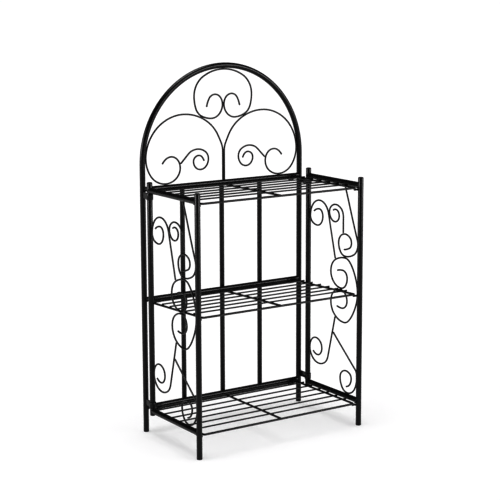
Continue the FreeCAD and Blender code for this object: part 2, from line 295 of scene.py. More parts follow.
@dataclass(frozen=True)
class PaleFloor(Finish):
    """Matt white studio floor that glows a little, clouded by a faint shade."""

    name: str = "pale_floor"
    colour: Colour = (0.45, 0.447, 0.45, 1)
    shade: Colour = (0.442, 0.44, 0.443, 1)
    shade_noise: tuple[float, float] = (3, 2)
    roughness: float = 0.75
    specular: float = 0.15
    glow: float = 0.50

    def material(self) -> bpy.types.Material:
        """Builds the material.

        Returns:
            The material.
        """
        material, graph, place = self.start(self.name)
        cloud = graph.noise(place, *self.shade_noise)
        self.end(graph, {
            "Base Color": graph.blend(cloud, self.colour, self.shade), "Roughness": self.roughness,
            "Specular IOR Level": self.specular, "Emission Color": (1, 1, 1, 1),
            "Emission Strength": self.glow})
        return material


class Tree:
    """Geometry node tree with named inputs, which ends in plain geometry with its finish."""

    name: str
    sizes: dict[str, str]

    def __init__(self) -> None:
        """Makes the tree: its inputs, its shape, and the end that all trees share."""
        self.tree = bpy.data.node_groups.new(self.name, "GeometryNodeTree")
        face = self.tree.interface
        inputs = {"Geometry": "NodeSocketGeometry", **self.sizes, "Finish": "NodeSocketMaterial"}
        for label, kind in inputs.items():
            face.new_socket(label, in_out="INPUT", socket_type=kind)
        face.new_socket("Geometry", in_out="OUTPUT", socket_type="NodeSocketGeometry")
        self.graph = Graph(self.tree)
        self.given = self.graph.add("NodeGroupInput").outputs
        real = self.graph.add("GeometryNodeRealizeInstances", {"Geometry": self.shape()})
        dressed = {"Geometry": real.outputs[0], "Material": self.given["Finish"]}
        finished = self.graph.add("GeometryNodeSetMaterial", dressed)
        self.graph.add("NodeGroupOutput", {"Geometry": finished.outputs[0]})

    def shape(self) -> Socket:
        """Geometry that the tree makes."""
        raise NotImplementedError

    def half(self, label: str) -> Socket:
        """Half of the input with this name."""
        return self.graph.calculate("MULTIPLY", self.given[label], 0.5)

    def drawn(self, lines: Socket) -> Socket:
        """Draws round steel of the tree's Diameter and Sides along lines, thinner by their girth.

        Args:
            lines: Mesh of edges.

        Returns:
            The round mesh.
        """
        curve = self.graph.add("GeometryNodeMeshToCurve", {"Mesh": lines})
        ring = self.graph.add("GeometryNodeCurvePrimitiveCircle", {
            "Resolution": self.given["Sides"], "Radius": self.half("Diameter")})
        girth = self.graph.add("GeometryNodeInputNamedAttribute", {"Name": "girth"}, data_type="FLOAT")
        swept = self.graph.add("GeometryNodeCurveToMesh", {
            "Curve": curve.outputs[0], "Profile Curve": ring.outputs[0], "Scale": girth.outputs[0],
            "Fill Caps": True})
        return swept.outputs[0]


class RoundSteel(Tree):
    """Tree that draws round wire, rod or tube along every line of a mesh."""

    name = "round_steel"
    sizes = {"Diameter": "NodeSocketFloat", "Sides": "NodeSocketInt"}

    def shape(self) -> Socket:
        """Steel along the lines given."""
        return self.drawn(self.given["Geometry"])


class CrossWires(Tree):
    """Tree that repeats one line at even steps and draws round wire along each."""

    name = "cross_wires"
    sizes = {"Wires": "NodeSocketInt", "Step": "NodeSocketVector",
             "Diameter": "NodeSocketFloat", "Sides": "NodeSocketInt"}

    def shape(self) -> Socket:
        """Row of wires.

        Returns:
            The wires' mesh.
        """
        places = self.graph.add("GeometryNodeMeshLine", {
            "Count": self.given["Wires"], "Offset": self.given["Step"]})
        row = self.graph.add("GeometryNodeInstanceOnPoints", {
            "Points": places.outputs[0], "Instance": self.given["Geometry"]})
        lines = self.graph.add("GeometryNodeRealizeInstances", {"Geometry": row.outputs[0]})
        return self.drawn(lines.outputs[0])


class WeldBeads(Tree):
    """Tree that lays overlapping weld ripples along every line of a mesh."""

    name = "weld_beads"
    sizes = {"Width": "NodeSocketFloat", "Pitch": "NodeSocketFloat",
             "Unevenness": "NodeSocketFloat", "Seed": "NodeSocketInt"}
    segments = 8
    rings = 5

    def shape(self) -> Socket:
        """Beads of uneven size, one a pitch.

        Returns:
            The beads, as instances.
        """
        curve = self.graph.add("GeometryNodeMeshToCurve", {"Mesh": self.given["Geometry"]})
        points = self.graph.add("GeometryNodeCurveToPoints", {
            "Curve": curve.outputs[0], "Length": self.given["Pitch"]}, mode="LENGTH")
        ripple = self.graph.add("GeometryNodeMeshUVSphere", {
            "Segments": self.segments, "Rings": self.rings, "Radius": self.half("Width")})
        smallest = self.graph.calculate("SUBTRACT", 1.0, self.given["Unevenness"])
        chance = self.graph.add("FunctionNodeRandomValue", {
            "Min_001": smallest, "Max_001": 1.0, "Seed": self.given["Seed"]}, data_type="FLOAT")
        size = next(s for s in chance.outputs if s.type == "VALUE")
        beads = self.graph.add("GeometryNodeInstanceOnPoints", {
            "Points": points.outputs["Points"], "Instance": ripple.outputs["Mesh"],
            "Rotation": points.outputs["Rotation"], "Scale": size})
        return beads.outputs[0]


def heading_of(degrees: float) -> complex:
    """Unit step in a direction given in degrees."""
    return cmath.rect(1, math.radians(degrees))


def along(step: complex, heading: complex) -> float:
    """Length of a step measured along a heading."""
    return (step * heading.conjugate()).real


def leaving(start: complex, heading: complex, end: complex) -> complex:
    """Heading at the end of the arc that leaves start along heading."""
    step = end - start
    return (step / abs(step)) ** 2 / heading


def arc(start: complex, heading: complex, end: complex, sag: float) -> list[complex]:
    """Points after start on the arc that leaves it along heading and reaches end.

    Args:
        start: First point.
        heading: Unit heading there.
        end: Last point.
        sag: Largest distance between the arc and its chords.

    Returns:
        The points, the last of which is end.
    """
    step = end - start
    half_turn = cmath.phase(step / heading)
    if abs(half_turn) < sag / abs(step):
        return [end]
    radius = abs(step / 2 / math.sin(half_turn))
    count = max(1, math.ceil(abs(half_turn) / math.acos(1 - sag / radius)))
    points = []
    for index in range(1, count + 1):
        part = half_turn * index / count
        reach = abs(step) * math.sin(part) / math.sin(half_turn)
        points.append(start + cmath.rect(reach, cmath.phase(heading) + part))
    return points


def smooth_route(nodes: Sequence[tuple[complex, complex]], sag: float) -> list[complex]:
    """Route that joins each node to the next by two arcs, all tangent.

    Args:
        nodes: Places with their unit headings.
        sag: Largest distance between an arc and its chords.

    Returns:
        Points of the route.
    """
    points = [nodes[0][0]]
    for (start, out), (end, into) in zip(nodes, nodes[1:]):
        step = end - start
        both = along(step, out + into)
        bend = 2 * (1 - along(out, into))
        arm = abs(step) ** 2 / (both + math.sqrt(both**2 + bend * abs(step) ** 2))
        middle = (start + arm * out + end - arm * into) / 2
        points += arc(start, out, middle, sag)
        points += arc(middle, leaving(start, out, middle), end, sag)
    return points


def distance_to(point: complex, route: Sequence[complex]) -> float:
    """Distance of a point from a route.

    Args:
        point: The point.
        route: Points of the route, with straight runs between them.

    Returns:
        The distance to its nearest place.
    """
    nearest = []
    for start, end in zip(route, route[1:]):
        share = along(point - start, end - start) / abs(end - start) ** 2
        nearest.append(abs(point - start - min(max(share, 0), 1) * (end - start)))
    return min(nearest)


def butted(route: Sequence[complex], other: Sequence[complex], spacing: float) -> list[complex]:
    """Route cut off where it comes within a spacing of another.

    Args:
        route: Route to shorten at its end.
        other: Route that it meets.
        spacing: Distance kept from it.

    Returns:
        The shortened route.
    """
    halvings = 40
    kept = list(route)
    while distance_to(kept[-2], other) < spacing:
        kept.pop()
    back, end = kept[-2:]
    near, far = 0.0, 1.0
    for _ in range(halvings):
        share = (near + far) / 2
        if distance_to(back + share * (end - back), other) > spacing:
            near = share
        else:
            far = share
    return kept[:-1] + [back + near * (end - back)]


def mirrored(route: Iterable[complex]) -> list[complex]:
    """Route turned over left to right."""
    return [complex(-p.real, p.imag) for p in route]


@dataclass
class Line:
    """Points of a run of steel or weld, with the share of its full girth at each."""

    points: list[Vector]
    girths: list[float] = field(default_factory=list)

    def __post_init__(self) -> None:
        """Gives full girth to every point without one."""
        if not self.girths:
            self.girths = [1.0] * len(self.points)

    @classmethod
    def straight(cls, place: Sequence[float], run: Vector, offsets: Iterable[float]) -> "Line":
        """Straight line with a point at each offset.

        Args:
            place: Place that the offsets count from.
            run: Unit direction of the line.
            offsets: Distances along it.

        Returns:
            The line.
        """
        x, y, z = place
        return cls([Vector((x + run.x * far, y + run.y * far, z + run.z * far)) for far in offsets])

    def rounded(self, diameter: float, edge: float, steps: int = 3) -> "Line":
        """Line whose two ends are rounded over.

        Args:
            diameter: The steel's diameter.
            edge: Radius of the rounding.
            steps: Steps of each rounding.

        Returns:
            The new line.
        """
        points, girths = list(self.points), list(self.girths)
        for _ in range(2):
            run = (points[1] - points[0]).normalized()
            start = points[0].copy()
            lead, shares = [], []
            for step in range(steps + 1):
                turn = math.pi / 2 * step / steps
                lead.append(start + run * edge * (1 - math.cos(turn)))
                shares.append(1 - 2 * edge / diameter * (1 - math.sin(turn)))
            points, girths = lead + points[1:], shares + girths[1:]
            points.reverse()
            girths.reverse()
        return Line(points, girths)


def saddle(centre: Vector, reach: Vector, diameter: float, host: float, sides: int) -> list[Vector]:
    """Closed line where a level tube meets a wider or equal upright one.

    Args:
        centre: Point on the upright's axis.
        reach: Unit direction of the tube from there.
        diameter: The tube's diameter.
        host: The upright's diameter.
        sides: Points round the tube.

    Returns:
        The points, without the first repeated.
    """
    side = reach.cross(UP)
    points = []
    for index in range(sides):
        turn = 2 * math.pi * index / sides
        over = diameter / 2 * math.sin(turn)
        depth = math.sqrt(max((host / 2) ** 2 - over**2, 0))
        points.append(centre + UP * (diameter / 2 * math.cos(turn)) + side * over + reach * depth)
    return points


def coped_tube(start: Vector, end: Vector, diameter: float, host: float, bite: float, sides: int) -> Shape:
    """Level tube between two round uprights, its ends shaped to them.

    Args:
        start: Point on the first upright's axis.
        end: Point on the second upright's axis.
        diameter: The tube's diameter.
        host: The uprights' diameter.
        bite: How far the ends reach into the uprights' walls.
        sides: Facets round the tube.

    Returns:
        The points and the faces.
    """
    run = (end - start).normalized()
    first = saddle(start, run, diameter, host - 2 * bite, sides)
    last = [p - run * 2 * run.dot(p - (start + end) / 2) for p in first]
    points = [*first, *last, start + run * (host / 2 - bite), end - run * (host / 2 - bite)]
    faces = []
    for index in range(sides):
        after = (index + 1) % sides
        faces.append([index, after, sides + after, sides + index])
        faces.append([after, index, 2 * sides])
        faces.append([sides + index, sides + after, 2 * sides + 1])
    return points, faces


def ribbon(path: Sequence[complex], thickness: float, low: Vector, high: Vector,
           first: Vector, second: Vector, offset: int = 0) -> Shape:
    """Sheet metal bent along a flat path.

    Args:
        path: Middle of the sheet, as first and second coordinates.
        thickness: The sheet's thickness.
        low: Origin of the path at one edge of the sheet.
        high: Origin of the path at its other edge.
        first: Direction of the path's real part.
        second: Direction of its imaginary part.
        offset: Number of points that are there already.

    Returns:
        The points and the faces.
    """
    points, faces = [], []
    for index, place in enumerate(path):
        before, after = path[max(index - 1, 0)], path[min(index + 1, len(path) - 1)]
        heading = (after - before) / abs(after - before)
        for shift in (0.5, -0.5):
            spot = place + 1j * heading * thickness * shift
            for origin in (low, high):
                points.append(origin + first * spot.real + second * spot.imag)
    corner = (0, 1, 3, 2)
    for index in range(len(path) - 1):
        here, there = offset + 4 * index, offset + 4 * index + 4
        for a, b in zip(corner, corner[1:] + corner[:1]):
            faces.append([here + a, here + b, there + b, there + a])
    faces.append([offset + c for c in corner])
    faces.append([offset + 4 * (len(path) - 1) + c for c in reversed(corner)])
    return points, faces


def lathe(feet: Sequence[tuple[Vector, float]], profile: Sequence[tuple[float, float]], sides: int) -> Shape:
    """One profile turned round upright axes.

    Args:
        feet: Foot of each axis, and 1 or -1 for a profile that goes up or down.
        profile: Radius and height of each point, the first and last on the axis
            or, where both have a radius, joined to each other.
        sides: Facets round the axis.

    Returns:
        The points and the faces.
    """
    points, faces = [], []
    closed = profile[0][0] > 0
    rows = len(profile)
    for foot, rise in feet:
        first = len(points)
        for radius, height in profile:
            for index in range(sides):
                turn = 2 * math.pi * index / sides
                spoke = Vector((radius * math.cos(turn), radius * math.sin(turn), rise * height))
                points.append(foot + spoke)
        for row in range(rows if closed else rows - 1):
            below, above = first + row * sides, first + (row + 1) % rows * sides
            for index in range(sides):
                after = (index + 1) % sides
                faces.append([below + index, below + after, above + after, above + index])
    return points, faces


def touching_welds(place: complex, degrees: float, into: Callable[[complex], Vector], out: Vector,
                   reach: float = 2.6, over: float = 0.75) -> list[Line]:
    """Two short beads in the creases where a wire touches something.

    Args:
        place: Where it touches.
        degrees: The wire's heading there.
        into: Function that turns a flat place into a point.
        out: Direction across the flat.
        reach: Half length of a bead.
        over: Distance of a bead from the flat.

    Returns:
        The beads' lines.
    """
    run = heading_of(degrees) * reach
    ends = [into(place - run), into(place), into(place + run)]
    return [Line([p + out * side for p in ends]) for side in (-over, over)]


def placed(name: str, data: bpy.types.ID) -> bpy.types.Object:
    """Object in the scene.

    Args:
        name: Its name.
        data: Its mesh, light or camera.

    Returns:
        The object.
    """
    thing = bpy.data.objects.new(name, data)
    bpy.context.scene.collection.objects.link(thing)
    return thing


def cleaned(mesh: bpy.types.Mesh, bevel: float = 0) -> None:
    """Merges a mesh's doubles, turns its faces outwards and rounds its sharp edges.

    Args:
        mesh: The mesh.
        bevel: Width of the rounding, in millimetres, or 0 for none.
    """
    sharp_angle, steps = math.radians(50), 3
    shape = bmesh.new()
    shape.from_mesh(mesh)
    bmesh.ops.remove_doubles(shape, verts=shape.verts, dist=MERGE)
    bmesh.ops.recalc_face_normals(shape, faces=shape.faces)
    if bevel:
        sharp = [e for e in shape.edges if len(e.link_faces) == 2 and e.calc_face_angle() > sharp_angle]
        bmesh.ops.bevel(shape, geom=sharp, offset=bevel * METRES, segments=steps, profile=0.5,
                        affect="EDGES", clamp_overlap=True)
    shape.to_mesh(mesh)
    shape.free()


class Bench:
    """Makes finished pieces: plain meshes, in metres, on their bodies."""

    def __init__(self) -> None:
        """Builds the finishes and the node trees, and finds the back legs' plane."""
        self.finishes = {Slot.METAL: PowderCoat().material(), Slot.PLASTIC: MouldedPlastic().material()}
        self.round_steel = RoundSteel().tree
        self.cross_wires = CrossWires().tree
        self.weld_beads = WeldBeads().tree
        low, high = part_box("back_arch_tube")
        self.legs_plane = DEPTH * (low.y + high.y) / 2
        self.seed = 11

    def metres(self, point: Vector) -> Vector:
        """Place in the frame of a point in millimetres from the back legs' plane."""
        return point * METRES + self.legs_plane

    def line_mesh(self, name: str, lines: Sequence[Line], closed: bool = False) -> bpy.types.Mesh:
        """Mesh of edges with a girth at each point.

        Args:
            name: The mesh's name.
            lines: The lines.
            closed: Whether each line's end joins its start.

        Returns:
            The mesh.
        """
        points, edges, girths = [], [], []
        for line in lines:
            first = len(points)
            points += [self.metres(p) for p in line.points]
            girths += line.girths
            edges += [(i, i + 1) for i in range(first, len(points) - 1)]
            if closed:
                edges.append((len(points) - 1, first))
        mesh = bpy.data.meshes.new(name)
        mesh.from_pydata(points, edges, [])
        mesh.attributes.new("girth", "FLOAT", "POINT").data.foreach_set("value", girths)
        return mesh

    def grown(self, tree: bpy.types.NodeTree, source: bpy.types.Mesh,
              sizes: dict[str, object]) -> bpy.types.Object:
        """Runs a geometry node tree and keeps what it makes as a plain mesh of steel.

        Args:
            tree: The tree.
            source: Mesh that the tree starts from, named as the piece.
            sizes: The tree's inputs, by name, apart from its finish.

        Returns:
            The object, without a modifier.
        """
        name = source.name
        values = {**sizes, "Finish": self.finishes[Slot.METAL]}
        piece = placed(name, source)
        modifier = piece.modifiers.new(tree.name, "NODES")
        modifier.node_group = tree
        for item in tree.interface.items_tree:
            if item.item_type == "SOCKET" and item.in_out == "INPUT" and item.name in values:
                modifier[item.identifier] = values[item.name]
        seen = piece.evaluated_get(bpy.context.evaluated_depsgraph_get())
        made = bpy.data.meshes.new_from_object(seen)
        piece.modifiers.clear()
        piece.data = made
        bpy.data.meshes.remove(source)
        made.name = name
        return piece

    def finished(self, piece: bpy.types.Object, body: str, node: str | None, slot: Slot = Slot.METAL,
                 crease: float = 38) -> bpy.types.Object:
        """Cleans a piece, shades it, puts it on its body and hides the CAD node that it replaces.

        Args:
            piece: The piece.
            body: Body that it rides on.
            node: CAD node that it replaces, if there is one.
            slot: Its material slot; not used.
            crease: Angle in degrees past which an edge stays sharp.

        Returns:
            The piece.
        """
        mesh = piece.data
        cleaned(mesh)
        if "girth" in mesh.attributes:
            mesh.attributes.remove(mesh.attributes["girth"])
        mesh.shade_smooth()
        mesh.set_sharp_from_angle(angle=math.radians(crease))
        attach(piece, body)
        if node:
            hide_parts(node)
        log.info("%s: %d faces on %s", piece.name, len(mesh.polygons), body)
        return piece


@dataclass
class Stock:
    """Sizes and outlines that every sub-assembly shares."""

    tube: float = 13.0
    tube_sides: int = 48
    rail: float = 11.5
    rail_wall: float = 1.0
    wire: float = 4.0
    wire_edge: float = 0.7
    wire_sides: int = 16
    seat_gap: float = 0.2
    butt_share: float = 0.75
    leg_spacing: float = 450.0
    side_frame_offset: float = 2.5
    hinge_setback: float = 37.0
    side_frame_depth: float = 210.0
    top_rail: float = 588.0
    middle_rail: float = 324.3
    bottom_rail: float = 60.5
    top_bar: float = 590.2
    bottom_bar: float = 61.0
    foot_height: float = 4.0
    foot_edge: float = 1.2
    foot_edge_steps: int = 4
    foot_sole: tuple[float, float] = (2.4, 1.9)
    cap_rise: float = 2.5
    cap_steps: int = 8
    cap_fullness: float = 0.8
    plug_edge: float = 0.35
    pivot_drop: float = 5.5
    fold_gap: float = 0.5
    shelf_rod: float = 5.0
    shelf_rod_sides: int = 20
    shelf_side_gap: float = 1.5
    top_tilt: float = 0.45
    middle_tilt: float = 1.9
    bottom_tilt: float = 0.0
    clip_sheet: float = 1.2
    running_clearance: float = 0.08
    sag: float = 0.03
    weld: float = 2.3
    wire_weld: float = 1.9
    weld_pitch: float = 0.42
    weld_unevenness: float = 0.22

    @property
    def leg_x(self) -> float:
        """Distance of a leg's axis from the middle."""
        return self.leg_spacing / 2

    @property
    def front_y(self) -> float:
        """Place of the front uprights."""
        return -self.hinge_setback - self.side_frame_depth

    @property
    def touching(self) -> float:
        """Spacing of two wires that touch."""
        return self.wire + self.seat_gap

    @property
    def clip_ring(self) -> float:
        """Outer diameter of a clip's eye."""
        return self.shelf_rod + 2 * (self.running_clearance + self.clip_sheet)

    @property
    def pivot_y(self) -> float:
        """Place of the shelves' pivot rods."""
        return -(self.rail + self.shelf_rod) / 2 - self.fold_gap

    @property
    def shelf_half(self) -> float:
        """Distance of a shelf's side rod from the middle."""
        return self.leg_x - self.tube / 2 - self.shelf_side_gap - self.shelf_rod / 2

    @property
    def tilts(self) -> dict[str, float]:
        """Degrees by which each shelf stands up at the front."""
        return {"top": self.top_tilt, "middle": self.middle_tilt, "bottom": self.bottom_tilt}

    @property
    def rails(self) -> dict[str, float]:
        """Heights of the rails' axes."""
        return {"top": self.top_rail, "middle": self.middle_rail, "bottom": self.bottom_rail}

    @property
    def bars(self) -> dict[str, float]:
        """Heights of the side bars' axes."""
        return {"top": self.top_bar, "bottom": self.bottom_bar}

    def node(self, place: complex, degrees: float, side: int) -> tuple[complex, complex]:
        """Node of a wire that lies on one side of the place where it touches something."""
        heading = heading_of(degrees)
        return place + side * 1j * heading * (self.touching / 2), heading

    def foot_profile(self) -> list[tuple[float, float]]:
        """Outline of a foot plug, from the floor up.

        Returns:
            Radius and height of each point.
        """
        radius, edge, lip, height = self.tube / 2, self.foot_edge, self.plug_edge, self.foot_height
        inner, outer = self.foot_sole
        outline = [(0, 0), (radius - inner * edge, 0), (radius - outer * edge, lip / 4)]
        for step in range(self.foot_edge_steps + 1):
            turn = math.pi / 2 * step / self.foot_edge_steps
            rise = lip / 4 + edge * (1 - math.cos(turn))
            outline.append((radius - edge + edge * math.sin(turn), rise))
        return [*outline, (radius, height - lip), (radius - lip, height), (0, height)]

    def cap_profile(self) -> list[tuple[float, float]]:
        """Outline of a domed plug, from the tube's end out.

        Returns:
            Radius and height of each point.
        """
        radius, lip = self.tube / 2, self.plug_edge
        outline = [(0, 0), (radius - lip, 0), (radius - lip / 4, lip / 2)]
        for step in range(1, self.cap_steps + 1):
            turn = math.pi / 2 * step / self.cap_steps
            rise = lip / 2 + (self.cap_rise - lip / 2) * math.sin(turn)
            outline.append((radius * math.cos(turn) ** self.cap_fullness, rise))
        outline[-1] = (0, self.cap_rise)
        return outline


@dataclass
class SubAssembly:
    """Part of the rack that moves as one body, and the ways in which its pieces are made."""

    stock: Stock
    bench: Bench

    @property
    def body(self) -> str:
        """Body that it rides on."""
        raise NotImplementedError

    def steel(self, name: str, lines: Sequence[Line], diameter: float, sides: int,
              node: str) -> bpy.types.Object:
        """Round wire, rod or tube along lines.

        Args:
            name: The piece's name.
            lines: Its lines, in millimetres.
            diameter: Its diameter, in millimetres.
            sides: Facets round it.
            node: CAD node that it replaces.

        Returns:
            The piece.
        """
        bench = self.bench
        sizes = {"Diameter": diameter * METRES, "Sides": sides}
        return bench.finished(bench.grown(bench.round_steel, bench.line_mesh(name, lines), sizes),
                              self.body, node)

    def tube(self, name: str, line: Line, node: str) -> bpy.types.Object:
        """Tube along a line, its ends eased over."""
        eased = line.rounded(self.stock.tube, self.stock.plug_edge)
        return self.steel(name, [eased], self.stock.tube, self.stock.tube_sides, node)

    def wire(self, name: str, line: Line, node: str) -> bpy.types.Object:
        """Scroll wire along a line, its ends eased over."""
        eased = line.rounded(self.stock.wire, self.stock.wire_edge)
        return self.steel(name, [eased], self.stock.wire, self.stock.wire_sides, node)

    def welds(self, name: str, lines: Sequence[Line], width: float, closed: bool = False) -> bpy.types.Object:
        """Weld beads along lines.

        Args:
            name: The piece's name.
            lines: Their lines, in millimetres.
            width: Width of a bead, in millimetres.
            closed: Whether each line runs round to its start.

        Returns:
            The piece.
        """
        bench = self.bench
        bench.seed += 1
        sizes = {"Width": width * METRES, "Pitch": width * self.stock.weld_pitch * METRES,
                 "Unevenness": self.stock.weld_unevenness, "Seed": bench.seed}
        piece = bench.grown(bench.weld_beads, bench.line_mesh(name, lines, closed), sizes)
        return bench.finished(piece, self.body, None, crease=180)

    def shell(self, name: str, shape: Shape, node: str, slot: Slot = Slot.METAL,
              bevel: float = 0) -> bpy.types.Object:
        """Piece from points and faces, its sharp edges rounded.

        Args:
            name: The piece's name.
            shape: Its points, in millimetres, and its faces.
            node: CAD node that it replaces.
            slot: Its material slot.
            bevel: Width of the edges' rounding, in millimetres.

        Returns:
            The piece.
        """
        points, faces = shape
        mesh = bpy.data.meshes.new(name)
        mesh.from_pydata([self.bench.metres(p) for p in points], [], faces)
        mesh.materials.append(self.bench.finishes[slot])
        cleaned(mesh, bevel)
        return self.bench.finished(placed(name, mesh), self.body, node, slot)


@dataclass
class ArchFrame(SubAssembly):
    """Back frame: bent tube, rails, inner uprights, scrolls, strap hinges, clips and feet.

    A row of a scroll is a place in the arch, as shares of its half width and height, the
    heading there in degrees, and the side on which the wire touches something, or 0.
    """

    arch_centre: float = 644.6
    rail_bite: float = 0.4
    seam_points: int = 28
    inner_uprights: tuple[tuple[str, float], ...] = (("left", -0.491), ("centre", 0.006), ("right", 0.5))
    upright_rise: float = 1.5
    upright_lip: float = 0.3
    upright_sides: int = 40
    upright_welds: tuple[float, float] = (-2.6, 2.6)
    upright_weld_run: tuple[float, ...] = (-3.4, 0, 3.4)
    upright_weld_lift: float = 0.1
    curl_weld_run: tuple[float, ...] = (-1, 0, 1)
    strap_sheet: float = 1.5
    strap_height: float = 14.5
    strap_end_float: float = 0.5
    strap_gap: float = 0.02
    strap_bend: float = 2.2
    strap_seat: float = 2.0
    strap_bite: float = 0.3
    strap_edge: float = 0.35
    strap_weld_place: float = 1.1
    strap_weld_lift: float = 0.2
    strap_weld_inset: float = 1.0
    clip_width: float = 14.0
    clip_rise: float = 2.5
    clip_place: float = 0.86
    clip_bend: float = 2.0
    clip_mouth: float = 34.0
    clip_edge: float = 0.25
    clip_weld: float = 1.7
    clip_weld_lift: float = 0.3
    clip_weld_run: tuple[float, ...] = (-1.6, 2)
    flank_sag: float = 0.02
    eye_sag: float = 0.01
    crown: tuple[Row, ...] = (
        (-0.265, 0.661, 80, 0), (-0.155, 0.770, 0, 0), (0, 0.679, 270, -1), (-0.173, 0.558, 180, 0),
        (-0.318, 0.575, 155, -1), (-0.528, 0.760, 90, 0), (0, 1, 0, -1))
    scroll: tuple[Row, ...] = (
        (0, 0, 90, 1), (0, 0.257, 90, 1), (-0.074, 0.406, 117, 0), (-0.318, 0.575, 155, 1),
        (-0.600, 0.609, 180, 0), (-1, 0.271, 264, 1), (-0.742, 0, 0, 1), (-0.559, 0.141, 90, 0),
        (-0.675, 0.243, 180, 0), (-0.784, 0.184, 240, 0))
    curl: tuple[Row, ...] = (
        (-0.253, 0.184, 110, 0), (-0.322, 0.236, 180, 0), (-0.389, 0.184, 270, 0), (-0.299, 0.109, 0, 0),
        (-0.197, 0.202, 90, 0), (-0.340, 0.293, 180, 0), (-0.454, 0.257, 225, 0), (-0.562, 0.167, 225, 0))

    @property
    def body(self) -> str:
        """Body that the frame rides on."""
        return "back_frame"

    def place_of(self, row: Row) -> complex:
        """Place in the arch that a row of shares names.

        Args:
            row: The row.

        Returns:
            The place in the back frame's plane.
        """
        stock = self.stock
        low = stock.top_rail + (stock.rail + stock.seat_gap) / 2
        inside = stock.leg_x - (stock.tube + stock.seat_gap) / 2
        high = self.arch_centre + inside
        height = low + row[1] * (high - low)
        over = max(height - self.arch_centre, 0)
        return complex(row[0] * math.sqrt(max(inside**2 - over**2, 0)), height)

    def route(self, rows: Sequence[Row]) -> list[complex]:
        """Smooth route through rows of the arch."""
        nodes = [self.stock.node(self.place_of(row), row[2], row[3]) for row in rows]
        return smooth_route(nodes, self.stock.sag)

    def point(self, place: complex) -> Vector:
        """Point in the back frame's plane of a flat place."""
        return Vector((place.real, 0, place.imag))

    def build_tube(self) -> None:
        """Makes the bent tube and its two feet."""
        stock = self.stock
        springs = [complex(side * stock.leg_x, self.arch_centre) for side in SIDES.values()]
        ends = [complex(side * stock.leg_x, stock.foot_height) for side in SIDES.values()]
        route = [ends[0], springs[0], *arc(springs[0], 1j, springs[1], stock.sag), ends[1]]
        self.tube("arch_tube", Line([self.point(p) for p in route]), "back_arch_tube")
        feet = [(Vector((side * stock.leg_x, 0, 0)), 1) for side in SIDES.values()]
        plugs = lathe(feet, stock.foot_profile(), stock.tube_sides)
        self.shell("back_foot_plugs", plugs, "back_feet", Slot.PLASTIC)

    def build_rails(self) -> None:
        """Makes the three rails."""
        stock = self.stock
        for place, height in stock.rails.items():
            left, right = (Vector((side * stock.leg_x, 0, height)) for side in SIDES.values())
            tube = coped_tube(left, right, stock.rail, stock.tube, self.rail_bite, stock.tube_sides)
            self.shell(f"rail_{place}", tube, f"back_rail_{place}")

    def build_uprights(self) -> None:
        """Makes the three inner uprights, open tubes behind the rails."""
        stock, lip = self.stock, self.upright_lip
        outer = stock.rail / 2
        inner = outer - stock.rail_wall
        low = stock.bottom_rail - stock.rail / 2
        length = stock.top_rail + self.upright_rise - low
        profile = [(inner, lip), (inner + lip, 0), (outer - lip, 0), (outer, lip), (outer, length - lip),
                   (outer - lip, length), (inner + lip, length), (inner, length - lip)]
        for place, share in self.inner_uprights:
            foot = Vector((share * stock.leg_x, stock.rail + stock.seat_gap, low))
            tube = lathe([(foot, 1)], profile, self.upright_sides)
            self.shell(f"inner_upright_{place}", tube, f"back_upright_{place}")

    def build_rail_welds(self) -> None:
        """Makes the welds of the rails, at their ends and at the inner uprights."""
        stock, seams, spots = self.stock, [], []
        for height in stock.rails.values():
            for side in SIDES.values():
                leg = Vector((side * stock.leg_x, 0, height))
                seams.append(Line(saddle(leg, ACROSS * -side, stock.rail, stock.tube, self.seam_points)))
        self.welds("rail_end_welds", seams, stock.weld, closed=True)
        crease = (stock.rail + stock.seat_gap) / 2 + self.upright_weld_lift
        for _, share in self.inner_uprights:
            for height in stock.rails.values():
                for side in self.upright_welds:
                    place = (share * stock.leg_x + side, crease, height)
                    spots.append(Line.straight(place, UP, self.upright_weld_run))
        self.welds("inner_upright_welds", spots, stock.weld)

    def build_scrolls(self) -> None:
        """Makes the crown wire, the scrolls, the curls and their welds."""
        stock = self.stock
        half, scroll = self.route(self.crown), self.route(self.scroll)
        curl = butted(self.route(self.curl), scroll, stock.butt_share * stock.touching)
        crown = half + mirrored(half)[-2::-1]
        kinds = {("arch_wire", "arch_scroll"): {"crown": crown, "left": scroll, "right": mirrored(scroll)},
                 ("arch_curl_wire", "arch_curl"): {"left": curl, "right": mirrored(curl)}}
        for (name, node), routes in kinds.items():
            for place, route in routes.items():
                line = Line([self.point(p) for p in route])
                self.wire(f"{name}_{place}", line, f"{node}_{place}")
        spots = []
        for row in (*self.crown, *self.scroll):
            if row[3]:
                spots += touching_welds(self.place_of(row), row[2], self.point, DEPTH)
        mirror = [Line([Vector((-p.x, p.y, p.z)) for p in line.points]) for line in spots]
        end = curl[-1]
        ends = [Line.straight((x, 0, end.imag), DEPTH, self.curl_weld_run) for x in (end.real, -end.real)]
        self.welds("arch_wire_welds", [*spots, *mirror, *ends], stock.wire_weld)

